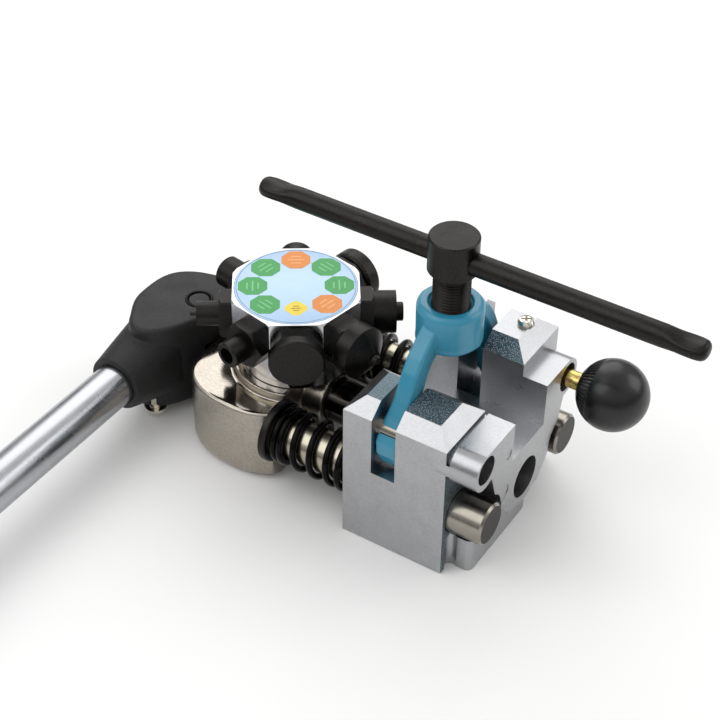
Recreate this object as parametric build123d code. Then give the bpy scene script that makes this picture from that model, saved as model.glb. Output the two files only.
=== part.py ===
from build123d import *
import os
from math import cos, sin, radians

# Turret flaring tool: a die block that holds the tube, a sliding turret with eight
# flaring dies, a hand lever with a cam that draws the two together, and a swinging
# yoke with a clamp screw. Millimetres. +X is the side where the tube goes in, +Z is up.
# The origin is on the base plane, directly under the clamp screw.

# ---- driving dimensions -------------------------------------------------------------
SLIDE_FIT = 0.05          # radial running clearance of a shaft in its bore
BODY_GAP = 0.3            # clearance between parts of different bodies

BLOCK_WIDTH = 89.0
BLOCK_REAR_X = -22.8
BLOCK_FRONT_X = 26.0
FAR_FRONT_X = 28.5        # the far upright reaches further forward
PLATE_X = 40.0            # common face of both lugs and of the front boss
NEAR_EDGE_Z = 68.0        # top of the near upright's vertical walls
FAR_EDGE_Z = 74.4         # the far upright is taller
ROOF_HEIGHT = 6.0         # from those edges to the flat tops
ROOF_INSET = 7.0
CHANNEL_WIDTH = 27.2
CHANNEL_Z = 47.5
ARM_SLOT_WIDTH = 11.4     # slots for the two yoke arms
ARM_SLOT_SHIFT = 3.4      # the near slot lies this far behind the screw, the far one in front
ARM_SLOT_Z = 39.7
NEAR_LUG_TOP_Z = 67.4
FAR_LUG_TOP_Z = 68.4
LUG_GROOVE_X = 27.6       # a narrow groove parts the near lug from its upright
LUG_GROOVE = 1.4
LUG_END_R = 8.6
LUG_BOTTOM_Z = 51.0
FRONT_ROOT = 4.0          # how deep the front features are rooted in the block
FRONT_BOSS_R = 13.4
FOOT_X = 36.0             # front of the foot under the front boss
FOOT_Y = (-37.0, 12.0)
FOOT_TOP_Z = 17.0
ROD_RELIEF_R = 12.6       # the front web keeps this far from a guide rod's centre
COVER_SCREW_X = 19.2      # pan head screw on the far upright
COVER_SCREW_Y = 31.6
COVER_SCREW_R = 2.0
COVER_HEAD_R = 3.7
COVER_SCREW_DEPTH = 10.0

AXIS_Z = 28.0             # height of guide rods, ram, lever centre and handle
ROD_SPACING = 66.0
ROD_R = 9.5
ROD_FRONT_X = 42.2
ROD_REAR_X = -98.0
ROD_TAIL_R = 4.6          # the rods are stepped down where they enter the housing
BUSH_R = 10.9
BUSH_LENGTH = 16.0

RAM_R = 11.0
RAM_NECK_R = 8.6
RAM_NECK_FRONT_X = 16.0
RAM_TAIL_R = 7.9
RAM_SHOULDER_X = -95.0
FRONT_BORE_R = 9.7

PIVOT_Y = -36.4           # yoke pivot pin
PIVOT_Z = 59.8
PIVOT_PIN_R = 4.2
PIVOT_HEAD_R = 6.5        # head of the pin and its recess in the near lug
PIVOT_REAR_X = -18.0
PIVOT_HEAD_X = 30.0
PIVOT_RECESS = 6.0
LOCK_Y = 33.0             # lock pin
LOCK_Z = 59.8
LOCK_PIN_R = 4.4
LOCK_STUD_R = 4.0
LOCK_CAGE_R = 6.6         # bore for the lock pin's spring
LOCK_CAGE_DEPTH = 12.0
LOCK_CLEARANCE = 0.3
KNOB_NECK = 4.0           # how far behind the knob's centre its stud ends
KNOB_X = 61.3
KNOB_R = 15.6

TURRET_X = -76.2
TURRET_R = 29.8
TURRET_FLAT = 27.6        # distance of the eight flats from the turret's axis
TURRET_BOTTOM_Z = 52.0
TURRET_TOP_Z = 80.4
TURRET_HUB_R = 24.0
TURRET_WELL_R = 9.0       # well under the label for the axle's clip
TURRET_WELL_DEPTH = 8.0
LABEL_R = 26.8
LABEL_T = 0.6
DIE_Z = 66.0
DIE_PHASE = -10.5         # azimuth of the first die in degrees
DIE_SHANK_R = 5.0
AXLE_R = 5.0
DETENT_R = 2.0
DETENT_RADIUS = 18.0

HOUSING_TOP_Z = 38.2
HOUSING_REAR_X = -116.0
HOUSING_FRONT_X = -65.0
HOUSING_SIDE = [          # the bulged side in plan; the flat front face cuts it off
    (-116.0, 8.0), (-115.8, 18.0), (-114.0, 27.4), (-107.2, 35.6), (-98.0, 40.0), (-85.5, 41.6),
    (-73.4, 40.4), (-65.0, 36.0), (-59.0, 27.0), (-56.5, 8.0),
]
HOUSING_BOSS_R = 28.4     # round seat under the turret
BOSS_TOP_Z = 42.3
COLLAR_R = 14.2           # collar around the ram
COLLAR_FRONT_X = -54.5
AXLE_BOTTOM_Z = 6.0
DRAW_TRAVEL = 7.0         # how far the lever draws the turret towards the block

LEVER_X = -130.0          # vertical lever pivot
LEVER_PIN_R = 5.0
LEVER_HALF_HEIGHT = 22.6
LEVER_RING_WIDTH = 1.1    # ring groove round the pin's end
LEVER_SWING = 75.0        # degrees from open to drawn
CAM_MIN = 13.8            # cam distance at rest, grows evenly with the lever angle
TONGUE_T = 12.0
FORK_R = 9.6              # room in the lever's fork for the ram's tongue
TUBE_X = -142.2           # handle tube
TUBE_R = 10.0
TUBE_WALL = 2.0
TUBE_INNER_Y = -23.0
TUBE_OUTER_Y = -330.0
SOCKET_R = 13.0
SOCKET_MOUTH_Y = -48.0

SPRING_WIRE_R = 1.5
SPRING_R = 11.6
SPRING_REAR_X = -61.6
SEAT_R = 14.2
SPRING_COILS = 5

BOSS_R = 14.4             # yoke boss
YOKE_BOSS_Z = (86.0, 104.8)
YOKE_RECESS_R = 9.2       # shallow counterbore round the screw
YOKE_RECESS = 1.4
ARM_WIDTH = 7.4           # the arms are wider at the foot, towards their outer side
ARM_FOOT_WIDTH = 10.4
FOOT_JOIN_R = 10.0        # the foot's width starts this far from the pin holes
SCREW_FIT = 0.1
SCREW_R = 7.9
SCREW_TIP_Z = 84.5
HEAD_R = 10.5
HEAD_Z = (121.0, 137.0)
BAR_Z = 126.8
BAR_R = 4.75
BAR_LENGTH = 202.0
BAR_PINCH = 20.0          # length of each pinched end
BAR_TIP_WIDTH = 11.2
BAR_TIP_HEIGHT = 7.6
BAR_SHIFT = 8.6           # how far the bar stands off centre at rest

TUBE_BOLT_R = 3.0
TUBE_BOLT_AT = (-136.0, -29.0)
TUBE_BOLT_TOP_Z = 42.0
CAP_LIP = 5.0             # end plug of the handle tube
CAP_DEPTH = 16.0

half_width = BLOCK_WIDTH / 2
half_channel = CHANNEL_WIDTH / 2
rod_y = ROD_SPACING / 2
far_roof_z = FAR_EDGE_Z + ROOF_HEIGHT
lever_top_z = AXIS_Z + LEVER_HALF_HEIGHT
lever_bottom_z = AXIS_Z - LEVER_HALF_HEIGHT


# ---- small helpers -------------------------------------------------------------------
def box(x0, x1, y0, y1, z0, z1):
    """A box given by its two faces on each axis."""
    size = (x1 - x0, y1 - y0, z1 - z0)
    centre = ((x0 + x1) / 2, (y0 + y1) / 2, (z0 + z1) / 2)
    return Pos(*centre) * Box(*size)


def rod_x(r, x0, x1, y=0.0, z=AXIS_Z):
    """A cylinder along X."""
    return Pos((x0 + x1) / 2, y, z) * Rot(0, 90, 0) * Cylinder(r, x1 - x0)


def rod_y_axis(r, y0, y1, x, z=AXIS_Z):
    """A cylinder along Y."""
    return Pos(x, (y0 + y1) / 2, z) * Rot(90, 0, 0) * Cylinder(r, y1 - y0)


def rod_z(r, z0, z1, x=0.0, y=0.0):
    """A cylinder along Z."""
    return Pos(x, y, (z0 + z1) / 2) * Cylinder(r, z1 - z0)


def prism_x(points, x0, x1):
    """A polygon in the YZ plane, pulled from x0 to x1."""
    face = make_face(Polyline(*points, close=True))
    return Pos(x0, 0, 0) * extrude(Plane.YZ * face, x1 - x0)


def turned_x(points, x=0.0, y=0.0, z=AXIS_Z):
    """A turned part along X: points are (position along the axis, radius)."""
    outline = [(p[0], p[1]) for p in points]
    outline = [(outline[0][0], 0.0)] + outline + [(outline[-1][0], 0.0)]
    face = make_face(Polyline(*outline, close=True))
    return Pos(x, y, z) * revolve(face, Axis.X)


def turned_z(points, x=0.0, y=0.0, z=0.0):
    """A turned part along Z: points are (height, radius)."""
    return Pos(x, y, z) * Rot(0, -90, 0) * turned_x(points, 0, 0, 0)


def save(node, shape):
    """Write one node as a STEP file."""
    os.makedirs("parts", exist_ok=True)
    export_step(shape, f"parts/{node}.step")


# ---- die block -------------------------------------------------------------------------
def upright(side, front_x, edge_z):
    """One side wall of the channel with a hipped top."""
    y_mid = side * (half_channel + half_width) / 2
    x_mid = (BLOCK_REAR_X + front_x) / 2
    length = front_x - BLOCK_REAR_X
    width = half_width - half_channel
    wall = Pos(x_mid, y_mid, edge_z / 2) * Box(length, width, edge_z)
    low_face = Pos(x_mid, y_mid, edge_z) * Rectangle(length, width)
    top = Rectangle(length - 2 * ROOF_INSET, width - 2 * ROOF_INSET)
    top_face = Pos(x_mid, y_mid, edge_z + ROOF_HEIGHT) * top
    return wall + loft([low_face, top_face], ruled=True)


def lug(side, y_hole, top_z, inset=0.0):
    """A forward lug with a rounded outer end, around one of the two pin holes."""
    y_low, y_high = sorted((side * half_channel, y_hole))
    root_x = BLOCK_FRONT_X - FRONT_ROOT
    bar = box(root_x, PLATE_X, y_low, y_high, LUG_BOTTOM_Z, top_z - inset)
    end = rod_x(LUG_END_R - inset, root_x, PLATE_X, y_hole, top_z - LUG_END_R)
    return bar + end


def front_web():
    """Web that ties both lugs to the round front boss."""
    root_x = BLOCK_FRONT_X - FRONT_ROOT
    side_line = [(half_channel, CHANNEL_Z), (half_channel, 54), (32, 54), (24, 30), (12, 17)]
    other_side = [(-y, z) for y, z in reversed(side_line)]
    web = prism_x(side_line + other_side, root_x, PLATE_X)
    web += rod_x(FRONT_BOSS_R, root_x, PLATE_X)
    for side in (-1, 1):
        web -= rod_x(ROD_RELIEF_R, BLOCK_FRONT_X, PLATE_X + 1, side * rod_y)
    return web


def die_block():
    body = box(BLOCK_REAR_X, BLOCK_FRONT_X, -half_width, half_width, 0, CHANNEL_Z)
    body += upright(-1, BLOCK_FRONT_X, NEAR_EDGE_Z)
    body += upright(1, FAR_FRONT_X, FAR_EDGE_Z)
    body += lug(-1, PIVOT_Y, NEAR_LUG_TOP_Z)
    body += lug(1, LOCK_Y, FAR_LUG_TOP_Z)
    groove = lug(-1, PIVOT_Y, NEAR_LUG_TOP_Z) & box(BLOCK_FRONT_X, LUG_GROOVE_X, -half_width, 0, 0, 99)
    body -= groove - lug(-1, PIVOT_Y, NEAR_LUG_TOP_Z, LUG_GROOVE)
    body += front_web()
    foot = box(BLOCK_FRONT_X - FRONT_ROOT, FOOT_X, *FOOT_Y, 0, FOOT_TOP_Z)
    foot = fillet(foot.edges().filter_by(Axis.Z).group_by(Axis.X)[-1], 3)
    body += foot
    corner_groove = rod_z(2.6, -1, FOOT_TOP_Z + 1, BLOCK_FRONT_X + 1.5, FOOT_Y[0] - 2)
    body -= corner_groove
    for side in (-1, 1):
        y_low, y_high = sorted((side * (half_channel - 1), side * (half_width + 1)))
        slot_x = side * ARM_SLOT_SHIFT - ARM_SLOT_WIDTH / 2
        body -= box(slot_x, slot_x + ARM_SLOT_WIDTH, y_low, y_high, ARM_SLOT_Z, far_roof_z + 1)
        body -= rod_x(ROD_R + 0.4, BLOCK_REAR_X - 1, PLATE_X + 1, side * rod_y)
        body -= rod_x(BUSH_R, BLOCK_REAR_X - 1, BLOCK_REAR_X + BUSH_LENGTH, side * rod_y)
    # both slots stop at the channel's walls, so the channel's floor stays whole
    body += box(BLOCK_REAR_X, BLOCK_FRONT_X, -half_channel, half_channel, ARM_SLOT_Z - 1, CHANNEL_Z)
    body -= rod_x(RAM_NECK_R, BLOCK_REAR_X - 1, RAM_NECK_FRONT_X + 1)
    body -= rod_x(FRONT_BORE_R, RAM_NECK_FRONT_X, PLATE_X + 1)
    body -= rod_x(PIVOT_PIN_R, PIVOT_REAR_X, PLATE_X + 1, PIVOT_Y, PIVOT_Z)
    body -= rod_x(PIVOT_HEAD_R, PIVOT_HEAD_X, PLATE_X + 1, PIVOT_Y, PIVOT_Z)
    body -= rod_x(LOCK_PIN_R + SLIDE_FIT, 0, PLATE_X + 1, LOCK_Y, LOCK_Z)
    body -= rod_x(LOCK_CAGE_R, PLATE_X - LOCK_CAGE_DEPTH, PLATE_X + 1, LOCK_Y, LOCK_Z)
    screw_foot_z = far_roof_z - COVER_SCREW_DEPTH
    body -= rod_z(COVER_SCREW_R, screw_foot_z, far_roof_z + 1, COVER_SCREW_X, COVER_SCREW_Y)
    return body


def guide_bush(side):
    x0 = BLOCK_REAR_X
    x1 = BLOCK_REAR_X + BUSH_LENGTH
    return rod_x(BUSH_R, x0, x1, side * rod_y) - rod_x(ROD_R + SLIDE_FIT, x0 - 1, x1 + 1, side * rod_y)


def block_screw():
    """Pan head screw with a cross recess, in the top of the far upright."""
    pan = [(0, COVER_HEAD_R), (1.3, COVER_HEAD_R), (2.4, 2.9), (2.8, 1.6)]
    screw = turned_z([(-COVER_SCREW_DEPTH, COVER_SCREW_R), (0, COVER_SCREW_R)] + pan)
    for angle in (30, 120):
        screw -= Pos(0, 0, 2.3) * Rot(0, 0, angle) * Box(4.6, 0.9, 2.4)
    return Pos(COVER_SCREW_X, COVER_SCREW_Y, far_roof_z) * screw


def yoke_pivot_pin():
    """Headed pin; its head lies at the bottom of the recess in the near lug."""
    pin = rod_x(PIVOT_PIN_R, PIVOT_REAR_X, PIVOT_HEAD_X, PIVOT_Y, PIVOT_Z)
    head = rod_x(PIVOT_HEAD_R, PIVOT_HEAD_X, PLATE_X - PIVOT_RECESS, PIVOT_Y, PIVOT_Z)
    return pin + chamfer(head.edges().group_by(Axis.X)[-1], 0.6)


# ---- draw ram ----------------------------------------------------------------------------
def draw_ram():
    ram = rod_x(RAM_NECK_R, BLOCK_REAR_X, RAM_NECK_FRONT_X)
    ram += rod_x(RAM_R, RAM_SHOULDER_X, BLOCK_REAR_X)
    ram += rod_x(RAM_TAIL_R, LEVER_X, RAM_SHOULDER_X)
    ram += rod_z(RAM_TAIL_R, AXIS_Z - TONGUE_T / 2, AXIS_Z + TONGUE_T / 2, LEVER_X, 0)
    tongue_end = HOUSING_REAR_X + DRAW_TRAVEL + 1.0
    for side in (-1, 1):
        z0, z1 = sorted((AXIS_Z + side * TONGUE_T / 2, AXIS_Z + side * 20))
        ram -= box(LEVER_X - 20, tongue_end, -20, 20, z0, z1)
    ram -= rod_z(LEVER_PIN_R, 0, 60, LEVER_X, 0)
    # slot that the turret's axle passes through
    slot_half = AXLE_R + 0.6
    ram -= box(TURRET_X, TURRET_X + DRAW_TRAVEL, -slot_half, slot_half, 0, 60)
    ram -= rod_z(slot_half, 0, 60, TURRET_X, 0)
    ram -= rod_z(slot_half, 0, 60, TURRET_X + DRAW_TRAVEL, 0)
    return ram


def lever_pin():
    pin = rod_z(LEVER_PIN_R, lever_bottom_z + 1.0, lever_top_z - 0.1, LEVER_X, 0)
    return chamfer(pin.edges().group_by(Axis.Z)[-1], 0.6)


# ---- turret housing ------------------------------------------------------------------------
def turret_housing():
    other_side = [(x, -y) for x, y in reversed(HOUSING_SIDE)]
    outline = Spline(*(HOUSING_SIDE + other_side), periodic=True)
    body = extrude(make_face(outline), HOUSING_TOP_Z)
    body = fillet(body.edges().group_by(Axis.Z)[0], 6)
    body = fillet(body.edges().group_by(Axis.Z)[-1], 1.6)
    body -= box(HOUSING_FRONT_X, 0, -60, 60, -1, 60)
    seat = rod_z(HOUSING_BOSS_R, HOUSING_TOP_Z - 6, BOSS_TOP_Z, TURRET_X, 0)
    seat &= box(HOUSING_REAR_X, HOUSING_FRONT_X, -HOUSING_BOSS_R, HOUSING_BOSS_R, 0, BOSS_TOP_Z)
    body += seat
    body += rod_x(COLLAR_R, HOUSING_FRONT_X - 2, COLLAR_FRONT_X)
    body -= rod_x(RAM_R + SLIDE_FIT, -104, COLLAR_FRONT_X + 1)
    body -= rod_x(RAM_TAIL_R + SLIDE_FIT, HOUSING_REAR_X - 1, -103)
    for side in (-1, 1):
        body -= rod_x(ROD_TAIL_R, ROD_REAR_X, HOUSING_FRONT_X + 1, side * rod_y)
    body -= rod_z(AXLE_R, AXLE_BOTTOM_Z, BOSS_TOP_Z + 1, TURRET_X, 0)
    body -= rod_z(DETENT_R + SLIDE_FIT, 30, BOSS_TOP_Z + 1, TURRET_X, DETENT_RADIUS)
    return body


def guide_rod(side):
    rod = rod_x(ROD_R, HOUSING_FRONT_X, ROD_FRONT_X, side * rod_y)
    rod = chamfer(rod.edges().group_by(Axis.X)[-1], 1.0)
    return rod + rod_x(ROD_TAIL_R, ROD_REAR_X, HOUSING_FRONT_X, side * rod_y)


def spring_seat(side):
    ring = rod_x(SEAT_R, HOUSING_FRONT_X, SPRING_REAR_X, side * rod_y)
    ring -= rod_x(ROD_R, HOUSING_FRONT_X - 1, SPRING_REAR_X + 1, side * rod_y)
    return chamfer(ring.edges().group_by(Axis.X)[-1], 0.6)


def return_spring(side):
    """Compression spring on a guide rod, with its end coils on the seat and on the block."""
    length = BLOCK_REAR_X - SPRING_REAR_X - 2 * SPRING_WIRE_R - 0.2
    helix = Helix(length / SPRING_COILS, length, SPRING_R)
    wire = sweep(Plane(helix @ 0, z_dir=helix % 0) * Circle(SPRING_WIRE_R), helix)
    return Pos(SPRING_REAR_X + SPRING_WIRE_R + 0.1, side * rod_y, AXIS_Z) * Rot(0, 90, 0) * wire


# ---- turret ----------------------------------------------------------------------------------
def turret_body():
    body = rod_z(TURRET_R, TURRET_BOTTOM_Z, TURRET_TOP_Z)
    body = chamfer(body.edges().group_by(Axis.Z)[-1], 0.8)
    body += rod_z(TURRET_HUB_R, BOSS_TOP_Z + BODY_GAP, TURRET_BOTTOM_Z)
    for k in range(8):
        turn = Rot(0, 0, DIE_PHASE + 45 * k)
        body -= turn * box(TURRET_FLAT, TURRET_R + 5, -15, 15, TURRET_BOTTOM_Z - 1, TURRET_TOP_Z + 1)
        body -= turn * rod_x(DIE_SHANK_R, 14, TURRET_R + 1, 0, DIE_Z)
        notch_at = Rot(0, 0, 90 + 45 * k) * Pos(DETENT_RADIUS, 0, BOSS_TOP_Z - 0.6)
        body -= notch_at * Sphere(DETENT_R + 0.2)
    body -= rod_z(LABEL_R, TURRET_TOP_Z - LABEL_T, TURRET_TOP_Z + 1)
    body -= rod_z(TURRET_WELL_R, TURRET_TOP_Z - TURRET_WELL_DEPTH, TURRET_TOP_Z + 1)
    body -= rod_z(AXLE_R + SLIDE_FIT, 40, TURRET_TOP_Z + 1)
    return Pos(TURRET_X, 0, 0) * body


def turret_label():
    return rod_z(LABEL_R, TURRET_TOP_Z - LABEL_T, TURRET_TOP_Z + 0.2, TURRET_X, 0)


def turret_axle():
    axle = rod_z(AXLE_R, AXLE_BOTTOM_Z, TURRET_TOP_Z - 4, TURRET_X, 0)
    groove = rod_z(AXLE_R + 1, TURRET_TOP_Z - 7.6, TURRET_TOP_Z - 6.4, TURRET_X, 0)
    groove -= rod_z(AXLE_R - 0.7, TURRET_TOP_Z - 8, TURRET_TOP_Z - 6, TURRET_X, 0)
    return axle - groove


def axle_circlip():
    ring = rod_z(8.0, TURRET_TOP_Z - 7.5, TURRET_TOP_Z - 6.5) - rod_z(AXLE_R - 0.7, 0, 100)
    ring -= box(0, 10, -1.6, 1.6, 0, 100)
    return Pos(TURRET_X, 0, 0) * ring


def detent_ball():
    return Pos(TURRET_X, DETENT_RADIUS, BOSS_TOP_Z - DETENT_R) * Sphere(DETENT_R)


def detent_spring():
    helix = Helix(1.5, 6.6, 1.4)
    wire = sweep(Plane(helix @ 0, z_dir=helix % 0) * Circle(0.3), helix)
    return Pos(TURRET_X, DETENT_RADIUS, 30.5) * wire


# Each die is turned along its own axis: (distance from the turret's axis, radius).
HEX_START = TURRET_FLAT
DIES = {
    "die_cone": (20.0, [(33.5, 11.6), (40.5, 11.6), (46.4, 3.4), (46.4, 2.2), (48.5, 1.6)], 0),
    "die_step_large": (20.0, [(33.5, 9.4), (43.4, 9.4), (43.4, 4.2), (46.2, 4.2), (46.6, 3.8)], 0),
    "die_flat_wide": (21.0, [(33.5, 11.4), (35.0, 12.2), (40.0, 12.2), (41.0, 11.2)], 0),
    "die_step_medium": (19.0, [(33.5, 7.6), (42.0, 7.6), (42.0, 3.0), (45.5, 3.0)], 0),
    "die_plain": (19.0, [(33.5, 7.2), (43.6, 7.2), (44.2, 6.6)], 0),
    "die_step_small": (19.0, [(33.5, 5.4), (43.4, 5.4), (43.4, 1.0), (46.3, 1.0)], 0),
    "die_bell": (19.0, [(33.0, 5.9), (41.3, 5.9), (41.8, 5.4)], 3.7),
    "die_flat_near": (21.5, [(31.5, 12.0), (35.4, 12.0), (36.0, 11.4)], 0),
}


def flaring_die(k, hex_size, profile, hollow_r):
    """A screw-in die: shank, hexagon and working end."""
    shank = rod_x(DIE_SHANK_R, 16, HEX_START, 0, 0)
    hex_end = profile[0][0]
    hexagon = extrude(Plane.YZ * RegularPolygon(hex_size / 2, 6, major_radius=False), hex_end - HEX_START)
    hexagon = Pos(HEX_START, 0, 0) * hexagon
    corner_r = hex_size * 0.56
    hexagon &= turned_x([(HEX_START, corner_r), (hex_end - 1.0, corner_r), (hex_end, hex_size / 2)], z=0)
    die = shank + hexagon + turned_x(profile, z=0)
    if hollow_r:
        die -= rod_x(hollow_r, profile[0][0] + 1, 60, 0, 0)
    return Pos(TURRET_X, 0, DIE_Z) * Rot(0, 0, DIE_PHASE + 45 * k) * die


# ---- lever -------------------------------------------------------------------------------------
def lever_head():
    # the cam is an involute: its reach towards the housing grows evenly with the lever's angle
    gain = DRAW_TRAVEL / radians(LEVER_SWING)
    cam = []
    for step in range(-1, 7):
        a = radians(LEVER_SWING) * step / 6
        reach = CAM_MIN + gain * a
        cam.append((reach * cos(a) - gain * sin(a), reach * sin(a) + gain * cos(a)))
    back = [
        (-4.5, 20.6), (-11.6, 18.6), (-18.1, 15.4), (-23.1, 10.6), (-25.6, 5), (-26.6, -4), (-25.6, -14.6),
        (-20.5, -24.6), (-16, -31), (-9.8, -33.3), (-2.8, -30.5), (3.2, -23.4), (7.9, -13.9), (12.2, -4),
    ]
    outline = Spline(*(cam + back), periodic=True)
    eye = extrude(Pos(LEVER_X, 0, lever_bottom_z) * make_face(outline), 2 * LEVER_HALF_HEIGHT)
    eye = fillet(eye.edges().group_by(Axis.Z)[-1] + eye.edges().group_by(Axis.Z)[0], 2.5)
    mouth = Plane(origin=(TUBE_X, SOCKET_MOUTH_Y, AXIS_Z), x_dir=(1, 0, 0), z_dir=(0, 1, 0))
    root = Plane(origin=(TUBE_X + 2.2, -14, AXIS_Z), x_dir=(1, 0, 0), z_dir=(0, 1, 0))
    mouth_face = mouth * RectangleRounded(2 * SOCKET_R, 2 * SOCKET_R, SOCKET_R - 0.1)
    root_face = root * RectangleRounded(31, 2 * LEVER_HALF_HEIGHT - 1, 12.5)
    head = eye + loft([mouth_face, root_face], ruled=True)
    head -= rod_y_axis(TUBE_R, SOCKET_MOUTH_Y - 1, TUBE_INNER_Y, TUBE_X)
    fork_z0 = AXIS_Z - TONGUE_T / 2 - BODY_GAP
    fork_z1 = AXIS_Z + TONGUE_T / 2 + BODY_GAP
    head -= box(LEVER_X - FORK_R, LEVER_X + 40, -FORK_R, 60, fork_z0, fork_z1)
    head -= rod_z(LEVER_PIN_R + SLIDE_FIT, 0, 60, LEVER_X, 0)
    head -= rod_z(TUBE_BOLT_R, 0, TUBE_BOLT_TOP_Z, *TUBE_BOLT_AT)
    head -= rod_z(LEVER_PIN_R + LEVER_RING_WIDTH, lever_top_z - 1.2, lever_top_z + 1, LEVER_X, 0)
    return head


def handle_tube():
    tube = rod_y_axis(TUBE_R, TUBE_OUTER_Y, TUBE_INNER_Y, TUBE_X)
    tube -= rod_y_axis(TUBE_R - TUBE_WALL, TUBE_OUTER_Y - 1, TUBE_INNER_Y + 1, TUBE_X)
    tube -= rod_z(TUBE_BOLT_R, 0, 60, *TUBE_BOLT_AT)
    return tube


def handle_cap():
    cap = rod_y_axis(TUBE_R, TUBE_OUTER_Y - CAP_LIP, TUBE_OUTER_Y, TUBE_X)
    cap = fillet(cap.edges().group_by(Axis.Y)[0], 3)
    return cap + rod_y_axis(TUBE_R - TUBE_WALL, TUBE_OUTER_Y, TUBE_OUTER_Y + CAP_DEPTH, TUBE_X)


def tube_bolt():
    """Bolt from below that crosses the handle tube's wall and keeps it in the socket."""
    button = [(-3.6, 2.6), (-3.2, 4.2), (-1.6, 5.4), (0, 5.4)]
    bolt = rod_z(TUBE_BOLT_R, lever_bottom_z, TUBE_BOLT_TOP_Z, *TUBE_BOLT_AT)
    return bolt + turned_z(button, *TUBE_BOLT_AT, lever_bottom_z)


# ---- yoke and clamp screw ------------------------------------------------------------------------
def near_arm():
    """The yoke's arm on the -Y side; the other arm is the same, turned by half a turn."""
    outer = [
        (-6, 102.0), (-12.4, 99), (-18.7, 94.8), (-24.3, 90.2), (-28.5, 84.5), (-31.2, 78.5), (-33.6, 72),
        (-37, 66.5), (-41, 60.5), (-42.3, 55.5), (-40.4, 46.5),
    ]
    inner = [
        (-31.5, 45), (-28.5, 52), (-26, 60), (-22, 66.4), (-19, 72.4), (-16.8, 78), (-12.6, 82.6), (-6, 86.5),
    ]
    foot_end = ThreePointArc(outer[-1], (-36, 41.5), inner[0])
    face = make_face(Spline(*outer) + foot_end + Spline(*inner) + Line(inner[-1], outer[0]))
    inner_x = ARM_SLOT_SHIFT * -1 + ARM_FOOT_WIDTH / 2
    arm = Pos(inner_x - ARM_WIDTH, 0, 0) * extrude(Plane.YZ * face, ARM_WIDTH)
    foot_x = inner_x - ARM_FOOT_WIDTH
    foot = Pos(foot_x, 0, 0) * extrude(Plane.YZ * face, ARM_FOOT_WIDTH)
    foot_zone = rod_x(FOOT_JOIN_R, foot_x, inner_x, PIVOT_Y + 3, PIVOT_Z)
    foot_zone += box(foot_x, inner_x, -half_width, -half_channel, ARM_SLOT_Z, PIVOT_Z)
    foot &= foot_zone
    arm = fillet(arm.edges().filter_by(Plane.YZ), 1.4)
    foot = fillet(foot.edges().filter_by(Plane.YZ), 1.2)
    return arm + foot


def yoke():
    body = turned_z([
        (YOKE_BOSS_Z[0], BOSS_R - 1.0), (YOKE_BOSS_Z[0] + 1.0, BOSS_R),
        (YOKE_BOSS_Z[1] - 2.2, BOSS_R), (YOKE_BOSS_Z[1], BOSS_R - 2.2),
    ])
    arm = near_arm()
    body += arm
    body += Rot(0, 0, 180) * arm
    body -= rod_z(SCREW_R + SCREW_FIT, YOKE_BOSS_Z[0] - 10, YOKE_BOSS_Z[1] + 1)
    body -= rod_z(YOKE_RECESS_R, YOKE_BOSS_Z[1] - YOKE_RECESS, YOKE_BOSS_Z[1] + 1)
    body -= rod_x(PIVOT_PIN_R + SLIDE_FIT, PIVOT_REAR_X, -PIVOT_REAR_X, PIVOT_Y, PIVOT_Z)
    body -= rod_x(LOCK_PIN_R + LOCK_CLEARANCE, PIVOT_REAR_X, -PIVOT_REAR_X, LOCK_Y, LOCK_Z)
    return body


def clamp_screw():
    screw = turned_z([
        (SCREW_TIP_Z, SCREW_R - 1.2), (SCREW_TIP_Z + 1.2, SCREW_R), (HEAD_Z[0] - 2.3, SCREW_R),
        (HEAD_Z[0], HEAD_R), (HEAD_Z[1] - 0.6, HEAD_R), (HEAD_Z[1], HEAD_R - 0.6),
    ])
    screw -= rod_x(BAR_R + 0.2, -20, 20, 0, BAR_Z)
    return screw


def pressure_pad():
    """Thrust pad under the screw's tip; it slides down but doesn't turn."""
    return turned_z([(81.6, 6.4), (82.2, 7.2), (84.0, 7.2), (SCREW_TIP_Z - 0.05, 6.4)])


def t_bar():
    """Sliding bar; both ends are pinched flat between two shallow dishes and rounded off."""
    half = BAR_LENGTH / 2
    bar = rod_x(BAR_R, BAR_PINCH - half, half - BAR_PINCH, 0, 0)
    for side in (-1, 1):
        tip = loft([
            Plane.YZ.offset(side * (half - BAR_PINCH)) * Circle(BAR_R),
            Plane.YZ.offset(side * (half - 9)) * Ellipse(BAR_TIP_WIDTH / 2, BAR_TIP_HEIGHT / 2 + 0.6),
            Plane.YZ.offset(side * half) * Ellipse(BAR_TIP_WIDTH / 2, BAR_TIP_HEIGHT / 2),
        ])
        round_end = Pos(side * (half - 9), 0, 0) * Cylinder(9, 2 * BAR_R)
        round_end += Pos(side * (half - BAR_PINCH), 0, 0) * Box(30, 30, 2 * BAR_R)
        bar += tip & round_end
    return Pos(BAR_SHIFT, 0, BAR_Z) * bar


# ---- lock pin --------------------------------------------------------------------------------------
def lock_pin():
    """Spring pin, drawn back so that its tip stands just outside the far arm's slot."""
    tip_x = ARM_SLOT_SHIFT + ARM_SLOT_WIDTH / 2 + LOCK_CLEARANCE
    stud_x = PLATE_X - LOCK_CAGE_DEPTH + 3
    pin = rod_x(LOCK_PIN_R, tip_x, stud_x, LOCK_Y, LOCK_Z)
    pin = chamfer(pin.edges().group_by(Axis.X)[0], 1.0)
    return pin + rod_x(LOCK_STUD_R, stud_x, KNOB_X - KNOB_NECK, LOCK_Y, LOCK_Z)


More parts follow.
